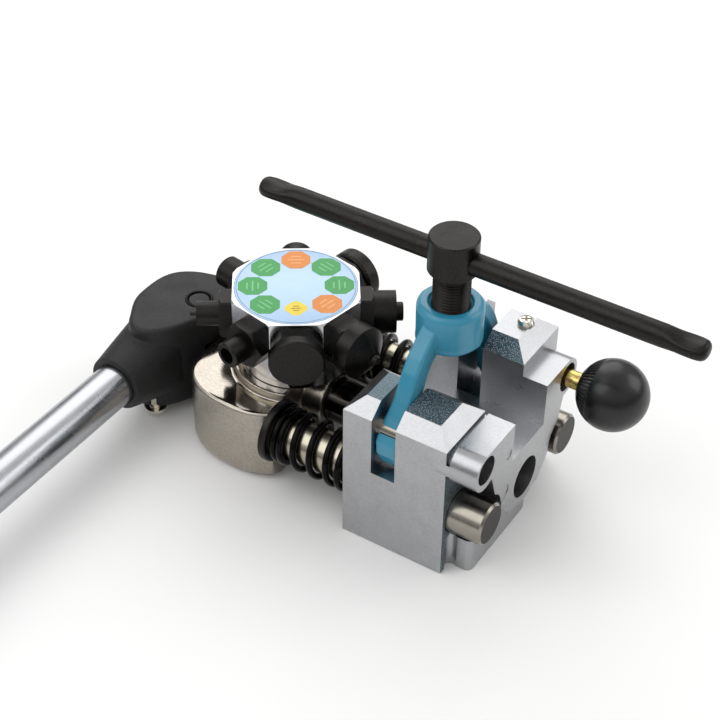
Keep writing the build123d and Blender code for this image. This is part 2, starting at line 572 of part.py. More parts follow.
def ball_knob():
    knob = Pos(KNOB_X, LOCK_Y, LOCK_Z) * Sphere(KNOB_R)
    knob &= box(KNOB_X - KNOB_R + 1.6, KNOB_X + KNOB_R, 0, 2 * LOCK_Y, 0, 2 * LOCK_Z)
    return knob - rod_x(LOCK_STUD_R, KNOB_X - KNOB_R, KNOB_X - KNOB_NECK, LOCK_Y, LOCK_Z)


def lock_spring():
    helix = Helix(2.3, 9.2, 5.5)
    wire = sweep(Plane(helix @ 0, z_dir=helix % 0) * Circle(0.5), helix)
    return Pos(PLATE_X - LOCK_CAGE_DEPTH + 0.8, LOCK_Y, LOCK_Z) * Rot(0, 90, 0) * wire


# ---- write every node --------------------------------------------------------------------------------
save("die_block", die_block())
save("block_screw", block_screw())
save("yoke_pivot_pin", yoke_pivot_pin())
save("draw_ram", draw_ram())
save("lever_pin", lever_pin())
save("turret_housing", turret_housing())
for side_name, side in (("near", -1), ("far", 1)):
    save(f"guide_bush_{side_name}", guide_bush(side))
    save(f"guide_rod_{side_name}", guide_rod(side))
    save(f"spring_seat_{side_name}", spring_seat(side))
    save(f"return_spring_{side_name}", return_spring(side))
save("turret_body", turret_body())
save("turret_label", turret_label())
save("turret_axle", turret_axle())
save("axle_circlip", axle_circlip())
save("detent_ball", detent_ball())
save("detent_spring", detent_spring())
for k, (name, (hex_size, profile, hollow_r)) in enumerate(DIES.items()):
    save(name, flaring_die(k, hex_size, profile, hollow_r))
save("lever_head", lever_head())
save("handle_tube", handle_tube())
save("handle_cap", handle_cap())
save("tube_bolt", tube_bolt())
save("yoke", yoke())
save("clamp_screw", clamp_screw())
save("pressure_pad", pressure_pad())
save("t_bar", t_bar())
save("lock_pin", lock_pin())
save("ball_knob", ball_knob())
save("lock_spring", lock_spring())
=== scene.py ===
import math

import bmesh
import bpy
from mathutils import Matrix, Vector


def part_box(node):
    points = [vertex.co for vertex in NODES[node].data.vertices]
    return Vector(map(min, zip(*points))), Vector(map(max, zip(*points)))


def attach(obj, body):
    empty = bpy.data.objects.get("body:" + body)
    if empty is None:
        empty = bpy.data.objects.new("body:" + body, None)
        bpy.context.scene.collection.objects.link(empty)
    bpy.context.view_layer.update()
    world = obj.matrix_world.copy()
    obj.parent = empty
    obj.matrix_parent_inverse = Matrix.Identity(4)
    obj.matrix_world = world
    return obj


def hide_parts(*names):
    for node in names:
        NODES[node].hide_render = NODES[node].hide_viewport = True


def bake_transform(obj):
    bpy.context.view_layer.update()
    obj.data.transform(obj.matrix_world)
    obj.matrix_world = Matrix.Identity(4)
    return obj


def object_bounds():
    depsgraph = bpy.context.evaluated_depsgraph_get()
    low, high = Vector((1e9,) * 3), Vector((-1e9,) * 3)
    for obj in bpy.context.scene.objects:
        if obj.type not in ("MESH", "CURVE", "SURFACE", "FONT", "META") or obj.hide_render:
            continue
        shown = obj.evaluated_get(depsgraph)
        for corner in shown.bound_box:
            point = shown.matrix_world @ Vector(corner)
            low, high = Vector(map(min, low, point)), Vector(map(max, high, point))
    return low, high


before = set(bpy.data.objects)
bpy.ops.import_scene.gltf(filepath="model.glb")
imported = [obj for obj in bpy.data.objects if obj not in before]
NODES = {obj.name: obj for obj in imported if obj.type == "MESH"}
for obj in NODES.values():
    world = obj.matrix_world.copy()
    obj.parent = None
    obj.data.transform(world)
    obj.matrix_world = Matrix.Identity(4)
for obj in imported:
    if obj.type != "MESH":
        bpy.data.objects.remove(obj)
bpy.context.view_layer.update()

# %% [markdown]
# # A turret flaring tool
#
# The object is a hand tool that forms the flared ends of brake pipes. A light metal block holds
# the pipe, and a turret with eight black dies slides towards it on two steel rods when the long
# lever is pulled. The CAD frame that was just loaded already has every part at its real size and
# in its real place, so this script only decides what each part looks like from close by: rounded
# edges, screw threads, spring coils, ribs, printed patches and, above all, the finish of each
# metal. Everything is in metres, in the CAD's own frame, so a millimetre is 0.001.

# %% Millimetres, colours and one helper for shader nodes
MM = 0.001


def linear(code):
    """An sRGB hex colour as the linear RGBA that Blender's shaders expect."""
    parts = [int(code[i:i + 2], 16) / 255 for i in (1, 3, 5)]
    return [c / 12.92 if c <= 0.04045 else ((c + 0.055) / 1.055) ** 2.4 for c in parts] + [1.0]


def add(tree, kind, inputs=None, **settings):
    """Add one shader node. An input that is a socket gets linked, anything else is a value."""
    node = tree.nodes.new("ShaderNode" + kind)
    for name, value in settings.items():
        setattr(node, name, value)
    for name, value in (inputs or {}).items():
        if isinstance(value, bpy.types.NodeSocket):
            tree.links.new(value, node.inputs[name])
        else:
            node.inputs[name].default_value = value
    return node


print("mid grey in linear light:", [round(c, 3) for c in linear("#808080")])

# %% [markdown]
# ## One network that most finishes share
#
# Real metal is never one flat colour. Two things vary on nearly every surface here: broad, faint
# clouds where plating or handling has left the colour and the polish slightly uneven, and a fine
# grain that is felt more than seen, such as tool marks or the skin of a casting. `finish` builds
# exactly these two layers. The clouds mix two colours and two roughness values, and the grain
# drives a bump whose height is given in real millimetres. The same grain also darkens the colour
# by a given share, as painted shade in the bottoms of fine pits, which see less light. Stretching
# the grain along one axis turns dots into the lines that drawing, turning or grinding leaves.

# %% The shared finish
MIX_RGBA = {"data_type": "RGBA"}


def finish(name, colours, metallic, rough, clouds, grain, bump, pit_shade=0.0, **fixed):
    """A material with cloudy colour and polish, a fine grain and painted shade in its pits. Sizes are in
    millimetres.
    """
    material = bpy.data.materials.new(name)
    material.use_nodes = True
    tree = material.node_tree
    shader = tree.nodes["Principled BSDF"]
    place = add(tree, "TexCoord").outputs["Object"]
    cloud = add(tree, "TexNoise", {"Vector": place, "Scale": 1 / (clouds * MM), "Detail": 3.0})
    cloud = cloud.outputs[0]
    tint = add(tree, "Mix", {0: cloud, 6: linear(colours[0]), 7: linear(colours[1])}, **MIX_RGBA)
    polish = add(tree, "MapRange", {0: cloud, 1: 0.3, 2: 0.7, 3: rough[0], 4: rough[1]})
    scale = [1 / (size * MM) for size in grain]
    lines = add(tree, "Mapping", {"Vector": place, "Scale": scale})
    fine = add(tree, "TexNoise", {"Vector": lines.outputs[0], "Scale": 1.0, "Detail": 4.0}).outputs[0]
    relief = add(tree, "Bump", {"Height": fine, "Distance": bump * MM, "Strength": 1.0})
    # Painted shade: the low points of the grain darken the colour by the given share.
    shade = add(tree, "MapRange", {0: fine, 1: 0.38, 2: 0.62, 3: 1.0 - pit_shade, 4: 1.0})
    tint = add(tree, "Mix", {0: 1.0, 6: tint.outputs[2], 7: shade.outputs[0]},
               blend_type="MULTIPLY", **MIX_RGBA)
    tree.links.new(tint.outputs[2], shader.inputs["Base Color"])
    tree.links.new(polish.outputs[0], shader.inputs["Roughness"])
    tree.links.new(relief.outputs[0], shader.inputs["Normal"])
    shader.inputs["Metallic"].default_value = metallic
    for socket, value in fixed.items():
        shader.inputs[socket.replace("_", " ")].default_value = value
    parts = {"tint": tint, "polish": polish, "relief": relief, "place": place}
    return material, tree, shader, parts


# %% [markdown]
# ## The block's two skins
#
# The die block is a zinc or aluminium casting with a satin, silver plated skin. Its machined
# faces are smooth and a little wavy, like very fine orange peel. Three areas were left as they
# came out of the mould: the flat top of the near side, the slope of the far side that faces the
# channel and the pocket behind the near lug. Their skin keeps a raw casting texture, and its dark
# bluish colour is a painted reflection of the teal yoke. Those sparkle: small facets each catch
# another light. A Voronoi pattern with half millimetre cells gives that as painted glints,
# because each cell has one height and one painted brightness.

# %% Satin plated casting, and raw casting skin with a painted reflection and painted glints
cast_block, _, _, _ = finish(
    "satin_plated_casting", ("#A4A5A7", "#B9B9BB"), 1.0, (0.26, 0.36), 9.0, (0.9, 0.9, 0.9), 0.012,
    pit_shade=0.09)

# The raw skin's dark bluish colours are a painted reflection of the teal yoke over the real casting
# texture.
raw_skin_and_painted_reflection, tree, shader, parts = finish(
    "raw_casting_skin_and_painted_reflection", ("#4E6069", "#6B7B82"), 1.0, (0.34, 0.50), 3.0, (0.35, 0.35, 0.35), 0.05)
FACET_SIZE = 0.55
# Painted glints: Voronoi cell centres are lifted towards a pale colour, as if each facet caught a light.
facets = add(tree, "TexVoronoi", {"Vector": parts["place"], "Scale": 1 / (FACET_SIZE * MM)})
glint = add(tree, "MapRange", {0: facets.outputs["Distance"], 1: 0.10, 2: 0.42, 3: 1.0, 4: 0.0})
painted_glint_tint = add(tree, "Mix", {0: glint.outputs[0], 6: parts["tint"].outputs[2], 7: linear("#D5DADC")},
            **MIX_RGBA)
lumps = add(tree, "Bump", {"Height": glint.outputs[0], "Distance": 0.12 * MM, "Strength": 1.0,
                           "Normal": parts["relief"].outputs[0]})
tree.links.new(painted_glint_tint.outputs[2], shader.inputs["Base Color"])
tree.links.new(lumps.outputs[0], shader.inputs["Normal"])
print("block skins:", cast_block.name, raw_skin_and_painted_reflection.name)

# %% [markdown]
# ## Steel: ground rods, the blackened ram and black oxide
#
# The guide rods are ground: round and round, so the lines run across the rod. Their sawn ends
# are darker and duller, which a mask from the surface's own X direction picks out. The part
# behind the block is yellow plated against rust, which a mask from its position picks out. The
# ram between them has been blackened and then polished by use. The dies, the clamp screw and its
# bar are black oxide: a thin dark layer on steel that has kept a dull metallic sheen. It is
# darker than bare metal, but never ink black, because oil and light make it grey.

# %% Ground steel with dark sawn ends
ground_steel, tree, shader, parts = finish(
    "ground_steel", ("#858079", "#A39D93"), 1.0, (0.18, 0.30), 7.0, (0.12, 3.0, 3.0), 0.004)
facing = add(tree, "SeparateXYZ", {0: add(tree, "NewGeometry").outputs["Normal"]})
sawn = add(tree, "Math", {0: facing.outputs["X"], 1: 0.9}, operation="GREATER_THAN")
dull = add(tree, "Mix", {0: sawn.outputs[0], 6: parts["tint"].outputs[2], 7: linear("#3C3A39")},
           **MIX_RGBA)
matt = add(tree, "MapRange", {0: sawn.outputs[0], 3: 0.24, 4: 0.44})
spot = add(tree, "SeparateXYZ", {0: parts["place"]})
BLOCK_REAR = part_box("die_block")[0].x
plated = add(tree, "Math", {0: spot.outputs["X"], 1: BLOCK_REAR}, operation="LESS_THAN")
warm = add(tree, "Mix", {0: plated.outputs[0], 6: dull.outputs[2], 7: linear("#ADA796")}, **MIX_RGBA)
tree.links.new(warm.outputs[2], shader.inputs["Base Color"])
tree.links.new(matt.outputs[0], shader.inputs["Roughness"])

# %% Blackened ram, black oxide, black spring wire
polished_ram, _, _, _ = finish(
    "blackened_polished_steel", ("#2A2928", "#47443F"), 1.0, (0.08, 0.24), 5.0,
    (4.0, 0.25, 0.25), 0.006)
black_oxide, _, _, _ = finish(
    "black_oxide", ("#2D2C2B", "#393735"), 1.0, (0.32, 0.46), 6.0, (0.7, 0.7, 0.7), 0.012,
    pit_shade=0.22)
spring_wire, _, _, _ = finish(
    "black_spring_wire", ("#141414", "#201F1E"), 1.0, (0.16, 0.28), 4.0, (0.4, 0.4, 0.4), 0.006)
print("steels:", ground_steel.name, polished_ram.name, black_oxide.name, spring_wire.name)

# %% [markdown]
# ## The turret's housing: satin nickel with a polished top
#
# The body under the turret is a rounded block with a warm nickel plate. Its sides were blasted
# before plating and look like satin, while the top was polished, so it mirrors the dark dies
# above it. Nickel is a little yellower than steel. One material does both: where the surface
# looks up, the roughness drops, with a soft step between the two.

# %% Warm nickel plate
nickel_plate, tree, shader, parts = finish(
    "warm_nickel_plate", ("#A39C91", "#BCB5AA"), 1.0, (0.24, 0.36), 9.0, (0.9, 0.9, 0.9), 0.010,
    pit_shade=0.15)
facing = add(tree, "SeparateXYZ", {0: add(tree, "NewGeometry").outputs["Normal"]})
upward = add(tree, "MapRange", {0: facing.outputs["Z"], 1: 0.80, 2: 0.97, 3: 0.0, 4: 1.0})
sheen = add(tree, "Mix", {0: upward.outputs[0], 2: parts["polish"].outputs[0], 3: 0.10})
tree.links.new(sheen.outputs[0], shader.inputs["Roughness"])

# %% [markdown]
# ## Aluminium: the turned turret and the drawn handle
#
# Both are bare aluminium. The turret was turned and milled, so it is bright with very fine
# lines. The handle is drawn tube: it has long, faint streaks along its length, as the die that
# it was pulled through leaves them. Only the direction of the stretched grain differs.

# %% Turned and drawn aluminium
turned_aluminium, _, _, _ = finish(
    "turned_aluminium", ("#C2C2C5", "#D6D6D8"), 1.0, (0.14, 0.22), 8.0, (2.0, 2.0, 0.08), 0.003)
drawn_aluminium, _, _, _ = finish(
    "drawn_aluminium", ("#A3A5A9", "#BFC0C4"), 1.0, (0.22, 0.34), 16.0, (0.25, 40.0, 0.25), 0.008)
print("aluminium:", turned_aluminium.name, drawn_aluminium.name)

# %% [markdown]
# ## Paint, plating and plastic
#
# The yoke is a steel forging under thick teal enamel: a coloured coat with a clear gloss on top
# and the gentle waviness of sprayed paint. The lever's head has a graphite grey powder coat on
# a sand casting, which is matt and finely grained. Yellow zinc plating on the knob's stud is
# famous for its rainbow, so one further, rosy tint is mixed in, in broad bands. The ball knob is
# phenolic plastic, smooth and black, and the small screws are bright nickel.

# %% Enamel, powder coat, zinc, plastics and the label's inks
teal_paint, _, _, _ = finish(
    "teal_enamel", ("#2684A2", "#3292AF"), 0.0, (0.34, 0.42), 12.0, (1.8, 1.8, 1.8), 0.03,
    Coat_Weight=0.35, Coat_Roughness=0.16)
cast_lever, _, _, _ = finish(
    "graphite_powder_coat", ("#1B1B1C", "#252526"), 0.0, (0.50, 0.60), 10.0, (0.8, 0.8, 0.8), 0.06,
    pit_shade=0.45, Specular_IOR_Level=0.4)
zinc_yellow, tree, shader, parts = finish(
    "yellow_zinc_plate", ("#C9B45A", "#DCCB7C"), 1.0, (0.16, 0.26), 3.0, (0.3, 1.0, 1.0), 0.005)
BAND_SIZE = 2.2
bands = add(tree, "TexNoise", {"Vector": parts["place"], "Scale": 1 / (BAND_SIZE * MM), "Detail": 1.0})
bloom = add(tree, "MapRange", {0: bands.outputs[0], 1: 0.52, 2: 0.66, 3: 0.0, 4: 0.7})
rainbow = add(tree, "Mix", {0: bloom.outputs[0], 6: parts["tint"].outputs[2], 7: linear("#B5867E")},
              **MIX_RGBA)
tree.links.new(rainbow.outputs[2], shader.inputs["Base Color"])
knob_plastic, _, _, _ = finish(
    "black_phenolic", ("#040404", "#080808"), 0.0, (0.26, 0.36), 7.0, (0.8, 0.8, 0.8), 0.012)
black_plastic, _, _, _ = finish(
    "moulded_black_plastic", ("#161617", "#1C1C1D"), 0.0, (0.42, 0.52), 7.0, (0.6, 0.6, 0.6), 0.02)
plated_screw, _, _, _ = finish(
    "bright_nickel", ("#CFC9BC", "#E0DCD2"), 1.0, (0.10, 0.18), 3.0, (0.6, 0.6, 0.6), 0.004)
bronze_bush, _, _, _ = finish(
    "sintered_bronze", ("#8C6B3B", "#A68350"), 1.0, (0.36, 0.48), 4.0, (0.25, 0.25, 0.25), 0.02)
INKS = {"sky": ("#B7D6F6", "#C2DDF8"), "green": ("#1F8F38", "#2E9E48"),
        "orange": ("#D67818", "#DE8726"), "yellow": ("#E6C914", "#ECD22E"),
        "line": ("#56698A", "#647796"), "pale": ("#62B875", "#70C182"),
        "peach": ("#EDA566", "#F0B077"), "umber": ("#6A5A10", "#75651A")}
ink = {}
for tone, pair in INKS.items():
    ink[tone] = finish("ink_" + tone, pair, 0.0, (0.30, 0.36), 5.0, (0.4, 0.4, 0.4), 0.004)[0]
print("finishes so far:", len(bpy.data.materials))

# %% [markdown]
# ## Meshes from rings
#
# Threads, coils and turned pieces are all the same kind of surface: a row of closed rings, each
# joined to the next by a band of four-sided faces. So one helper takes a list of rings and
# makes the mesh, and closes both ends with a flat face. A last helper sets smooth shading but
# keeps real corners sharp, so that a cylinder looks round while its rim stays crisp.

# %% Rings to mesh, and a finished object
SHARP = math.radians(38)


def place_object(name, mesh, material):
    """Link a mesh as an object, with its material and with smooth shading up to a sharp angle."""
    mesh.shade_smooth()
    mesh.set_sharp_from_angle(angle=SHARP)
    mesh.materials.append(material)
    obj = bpy.data.objects.new(name, mesh)
    bpy.context.scene.collection.objects.link(obj)
    return obj


def ringed(name, rings, material, closed=False):
    """A surface through closed rings of equally many points. Both ends are capped unless closed."""
    count = len(rings[0])
    points = [p for ring in rings for p in ring]
    faces = []
    steps = len(rings) if closed else len(rings) - 1
    for i in range(steps):
        a, b = i * count, (i + 1) % len(rings) * count
        for j in range(count):
            k = (j + 1) % count
            faces.append((a + j, a + k, b + k, b + j))
    if not closed:
        faces.append(tuple(reversed(range(count))))
        faces.append(tuple(range(len(points) - count, len(points))))
    mesh = bpy.data.meshes.new(name)
    mesh.from_pydata(points, [], faces)
    bm = bmesh.new()
    bm.from_mesh(mesh)
    bmesh.ops.recalc_face_normals(bm, faces=bm.faces)
    bm.to_mesh(mesh)
    bm.free()
    return place_object(name, mesh, material)


def settle(obj, body, slot, *nodes):
    """Say what a finished piece moves with and hide the CAD parts it stands for. The slot is not used.
    """
    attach(obj, body)
    if nodes:
        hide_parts(*nodes)
    print(obj.name, len(obj.data.polygons), "faces on body", body)


# %% [markdown]
# ## Copying a CAD part and softening its edges
#
# CAD edges are perfectly sharp, and nothing looks more like a computer model than that: a real
# edge is broken by a file, a tumbler or a coat of paint, and the small round catches a line of
# light. `copy_of` takes a copy of a CAD part's mesh, welds its points and merges its flat
# triangles into whole faces, which a bevel needs. `rounded` then bevels every sharp edge by a
# real width. Castings are softer all over, so `cast` rebuilds the whole skin from small cubes
# (a voxel remesh) and smooths it a little, which also melts pieces together like real metal.

# %% Copy, bevel and remesh
def copy_of(node, name):
    """A welded copy of a CAD node's mesh, with its flat triangles merged into whole faces."""
    mesh = NODES[node].data.copy()
    mesh.materials.clear()
    bm = bmesh.new()
    bm.from_mesh(mesh)
    bmesh.ops.remove_doubles(bm, verts=bm.verts, dist=0.005 * MM)
    bmesh.ops.dissolve_limit(bm, angle_limit=math.radians(0.6), verts=bm.verts, edges=bm.edges)
    bmesh.ops.recalc_face_normals(bm, faces=bm.faces)
    bm.to_mesh(mesh)
    bm.free()
    obj = bpy.data.objects.new(name, mesh)
    bpy.context.scene.collection.objects.link(obj)
    return obj


def bake(obj):
    """Turn an object's modifiers into plain mesh."""
    view = bpy.context.evaluated_depsgraph_get()
    mesh = bpy.data.meshes.new_from_object(obj.evaluated_get(view))
    obj.modifiers.clear()
    obj.data = mesh
    return obj


def rounded(obj, material, width, segments=2, angle=28):
    """Bevel all edges sharper than the angle, with even shading on the flat faces."""
    bevel = obj.modifiers.new("edges", "BEVEL")
    bevel.width = width * MM
    bevel.segments = segments
    bevel.limit_method = "ANGLE"
    bevel.angle_limit = math.radians(angle)
    bevel.use_clamp_overlap = True
    shading = obj.modifiers.new("shading", "WEIGHTED_NORMAL")
    shading.keep_sharp = True
    obj.data.shade_smooth()
    bake(obj)
    obj.data.materials.clear()
    obj.data.materials.append(material)
    return obj


def cast(obj, material, voxel, passes):
    """Rebuild the skin from small cubes and smooth it, as a casting's edges are smooth."""
    skin = obj.modifiers.new("skin", "REMESH")
    skin.mode = "VOXEL"
    skin.voxel_size = voxel * MM
    soft = obj.modifiers.new("soft", "SMOOTH")
    soft.factor = 0.5
    soft.iterations = passes
    bake(obj)
    obj.data.shade_smooth()
    obj.data.materials.clear()
    obj.data.materials.append(material)
    return obj


def carve(obj, cutter):
    """Take one solid out of another, then remove the cutter."""
    knife = obj.modifiers.new("knife", "BOOLEAN")
    knife.operation = "DIFFERENCE"
    knife.solver = "EXACT"
    knife.object = cutter
    bake(obj)
    bpy.data.objects.remove(cutter)
    return obj


def disc_cutter(radius, centre, axis, depth, count=48):
    """A round bar to cut with, in millimetres, centred on a point and as long as twice the depth."""
    bm = bmesh.new()
    turn = Vector((0, 0, 1)).rotation_difference(Vector(axis)).to_matrix().to_4x4()
    spot = Matrix.Translation([c * MM for c in centre])
    bmesh.ops.create_cone(bm, cap_ends=True, segments=count, radius1=radius * MM, radius2=radius * MM,
                          depth=2 * depth * MM, matrix=spot @ turn)
    mesh = bpy.data.meshes.new("cutter")
    bm.to_mesh(mesh)
    bm.free()
    obj = bpy.data.objects.new("cutter", mesh)
    bpy.context.scene.collection.objects.link(obj)
    return obj


# %% [markdown]
# ## The die block
#
# This is the heart of the tool. Its edges are broken by about half a millimetre, which shows as
# a thin bright line round every face. Two shallow round marks on its front are where pins
# pushed the casting out of its mould. The bore behind the lock knob is made deeper than in the
# CAD, because the lock's spring stretches into it when the knob is pushed in. After the bevel,
# the faces that were left raw are found by where they are and which way they look, and get the
# second material: raw casting skin with a painted reflection of the yoke and painted glints.

# %% Die block with broken edges, ejector marks and raw areas with a painted reflection
ALONG_X = (1, 0, 0)
EJECTOR_MARKS = ((2.3, -17.0, 53.6), (4.2, -19.4, 33.6))
MARK_DEPTH = 0.3
FRONT_X = 40.0
CAGE_R = 6.6
SPRING_ROOM = 6.5
block = copy_of("die_block", "block_body")
for radius, y, z in EJECTOR_MARKS:
    carve(block, disc_cutter(radius, (FRONT_X, y, z), ALONG_X, MARK_DEPTH))
low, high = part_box("lock_spring")
LOCK_Y, LOCK_Z = (low.y + high.y) / 2 / MM, (low.z + high.z) / 2 / MM
cage_middle = (low.x / MM - SPRING_ROOM / 2 + 1, LOCK_Y, LOCK_Z)
carve(block, disc_cutter(CAGE_R, cage_middle, ALONG_X, SPRING_ROOM / 2 + 1))
rounded(block, cast_block, 0.55)
# Second material: raw casting skin with a painted reflection of the teal yoke and painted glints.
block.data.materials.append(raw_skin_and_painted_reflection)
raw_faces_with_painted_reflection = 0
for face in block.data.polygons:
    x, y, z = face.center / MM
    near_top = z > 73.8 and y < 0
    far_slope = z > 74.8 and y > 0 and face.normal.y < -0.4
    pocket = abs(x - 26.0) < 0.3 and y < -20 and z < 52 and face.normal.x > 0.9
    if near_top or far_slope or pocket:
        face.material_index = 1
        raw_faces_with_painted_reflection += 1
settle(block, "block", "cast_block", "die_block")
print("raw faces:", raw_faces_with_painted_reflection)

# %% [markdown]
# ## Housing, lever head and yoke: three castings
#
# All three get the remeshed skin. The lever's head is a thick, rounded fist whose top face is
# flat, with a ring groove round the pivot pin. The yoke is a forging with two arms that flare
# from the boss down to their feet. They are not plain bars: a thick outer rib carries the load
# and the inner half is thinner, so each section is stepped. Each arm is a row of such sections,
# joined into the boss with a union, and then the remesh melts them together like enamel. Two
# holes through the feet let the pivot pin and the lock pin in.

# %% Turret housing
housing = cast(copy_of("turret_housing", "housing_body"), nickel_plate, 0.5, 6)
settle(housing, "carriage", "nickel_plate", "turret_housing")

# %% Lever head
lever = cast(copy_of("lever_head", "lever_casting"), cast_lever, 0.45, 4)
settle(lever, "lever", "cast_lever", "lever_head")

# %% Yoke: two lofted arms melted into the boss
# Edges of one arm as (y, z), its sides in x and how deep the step on each side is, from the boss
# down to the foot, all in millimetres.
OUTER = [(-4.0, 102.0), (-8.5, 100.6), (-12.4, 99.0), (-18.7, 94.8), (-24.3, 90.2), (-28.5, 84.5),
         (-31.2, 78.5), (-33.6, 72.0), (-37.0, 66.5), (-40.6, 61.5), (-42.8, 56.0), (-42.4, 50.0),
         (-39.6, 44.0)]
INNER = [(-4.0, 86.5), (-8.0, 84.8), (-12.0, 83.0), (-14.6, 80.6), (-16.6, 78.0), (-18.2, 74.6),
         (-19.6, 71.0), (-22.0, 66.4), (-24.4, 62.4), (-26.2, 58.6), (-27.4, 54.6), (-29.2, 49.6),
         (-32.4, 44.0)]
ARM_X = [(-5.6, 1.8)] * 6 + [(-5.8, 1.8), (-6.4, 1.8), (-7.4, 1.8), (-8.2, 1.8), (-8.6, 1.8),
                             (-8.5, 1.7), (-7.8, 1.0)]
STEP = [0.0, 0.3, 0.9] + [1.2] * 6 + [0.8, 0.4, 0.1, 0.0]
# Around the section: how far across from the outer to the inner edge, and which side it lies on.
SECTION = [(0.0, -0.82), (0.0, 0.0), (0.0, 0.82), (0.05, 1.0), (0.42, 1.0), (0.50, 0.99),
           (0.58, 0.98), (0.95, 0.98), (1.0, 0.80), (1.0, 0.0), (1.0, -0.80), (0.95, -0.98),
           (0.58, -0.98), (0.50, -0.99), (0.42, -1.0), (0.05, -1.0)]
FOOT_DROP = 2.2


def arm_rings(flip):
    """Sections of one arm in metres; flip turns it half round for the other side of the yoke."""
    rings = []
    for (oy, oz), (iy, iz), (x0, x1), step in zip(OUTER, INNER, ARM_X, STEP):
        ring = []
        for across, sideways in SECTION:
            thin = step * (1.0 if across > 0.5 else 0.5 if across == 0.5 else 0.0)
            half = (x1 - x0) / 2 - thin
            x = (x0 + x1) / 2 + half * sideways
            y, z = oy + (iy - oy) * across, oz + (iz - oz) * across
            ring.append(Vector((flip * x, flip * y, z)) * MM)
        rings.append(ring)
    sole = rings[-1]
    centre = Vector(sum(p[i] for p in sole) / len(SECTION) for i in range(3))
    drop = Vector((0, 0, -FOOT_DROP * MM))
    for share in (0.45, 0.85):
        rings.append([p.lerp(centre, share) + drop * share ** 0.5 for p in sole])
    return rings


BOSS_BORE = 8.0
BOSS = [(BOSS_BORE, 86.0), (13.2, 86.0), (14.1, 86.8), (14.4, 87.8), (14.2, 89.0), (14.4, 102.6),
        (13.6, 103.9), (12.4, 104.8), (9.4, 104.8), (9.2, 103.6), (BOSS_BORE, 103.2)]
FACETS = 8
FACET_SHARE = 0.022


def boss_rings(count=96):
    """The boss as a closed ring of outlines: round inside, and just noticeably eight-sided outside."""
    rings = []
    for i in range(count):
        a = 2 * math.pi * i / count
        fold = (a * FACETS / (2 * math.pi)) % 1.0 - 0.5
        flat = 1.0 - FACET_SHARE * (1.0 - (2 * abs(fold)) ** 2)
        ring = []
        for r, z in BOSS:
            reach = r * flat if r > 10 else r
            ring.append(Vector((reach * math.cos(a), reach * math.sin(a), z)) * MM)
        rings.append(ring)
    return rings


yoke = ringed("yoke_forging", boss_rings(), teal_paint, closed=True)
for flip in (1, -1):
    join = yoke.modifiers.new("arm", "BOOLEAN")
    arm = ringed("arm", arm_rings(flip), teal_paint)
    join.operation = "UNION"
    join.solver = "EXACT"
    join.object = arm
    bake(yoke)
    bpy.data.objects.remove(arm)
carve(yoke, disc_cutter(BOSS_BORE, (0, 0, 95), (0, 0, 1), 20))
for node, radius in (("yoke_pivot_pin", 4.4), ("lock_pin", 4.8)):
    low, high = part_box(node)
    pin_axis = (0, (low.y + high.y) / 2 / MM, (low.z + high.z) / 2 / MM)
    carve(yoke, disc_cutter(radius, pin_axis, ALONG_X, 20))
cast(yoke, teal_paint, 0.38, 5)
settle(yoke, "yoke", "teal_paint", "yoke")

# %% [markdown]
# ## Turret and dies
#
# The turret is turned from bar and then milled to eight flats. Each flat carries one die,
# screwed in: a hexagon to grip with a spanner and a working end of its own shape. Small bevels
# are enough on these, because a lathe leaves crisp edges that are only just broken.

# %% Turret body and its eight dies
turret = rounded(copy_of("turret_body", "turret_drum"), turned_aluminium, 0.3)
settle(turret, "turret", "turned_aluminium", "turret_body")
for node in sorted(n for n in NODES if n.startswith("die_") and n != "die_block"):
    tool = rounded(copy_of(node, node + "_turned"), black_oxide, 0.25)
    settle(tool, "turret", "black_oxide", node)

# %% [markdown]
# ## The label
#
# A thin printed plate tells which die is which. The real one carries size marks; here each
# coloured patch has only three plain bars, because lettering belongs to a maker. The patches
# are flat octagons a few hundredths of a millimetre above the plate, which is how thick ink
# really lies. A fine line runs just inside the plate's edge.

# %% Label plate with patches, bars and border line
LABEL_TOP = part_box("turret_label")[1].z
HUB = Vector(((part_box("turret_label")[0].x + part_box("turret_label")[1].x) / 2, 0.0, 0.0))
INK_STEP = 0.04 * MM


def circle(radius, z, count=96):
    """Points of a circle round the turret's axis; the radius is in millimetres."""
    turns = [2 * math.pi * i / count for i in range(count)]
    return [HUB + Vector((radius * MM * math.cos(t), radius * MM * math.sin(t), z)) for t in turns]


PLATE_R, PLATE_EDGE, PLATE_DEPTH = 26.7, 0.15, 0.8
plate_rings = [circle(PLATE_R, LABEL_TOP - PLATE_DEPTH * MM),
               circle(PLATE_R, LABEL_TOP - PLATE_EDGE * MM), circle(PLATE_R - 0.2, LABEL_TOP)]
plate = ringed("label_plate", plate_rings, ink["sky"])
settle(plate, "turret", "label_plate", "turret_label")


def print_shapes(name, shapes, material):
    """Flat printed shapes as one mesh: each shape is a list of points in millimetres, and its level."""
    points, faces = [], []
    for outline, level in shapes:
        start = len(points)
        z = LABEL_TOP + level * INK_STEP
        points += [HUB + Vector((x * MM, y * MM, z)) for x, y in outline]
        faces.append(tuple(range(start, start + len(outline))))
    mesh = bpy.data.meshes.new(name)
    mesh.from_pydata(points, [], faces)
    obj = place_object(name, mesh, material)
    settle(obj, "turret", "label_plate")


def spun(outline, azimuth, radius):
    """Move an outline out to a radius and turn it to an azimuth in degrees."""
    a = math.radians(azimuth)
    shifted = [(x + radius, y) for x, y in outline]
    return [(x * math.cos(a) - y * math.sin(a), x * math.sin(a) + y * math.cos(a)) for x, y in shifted]


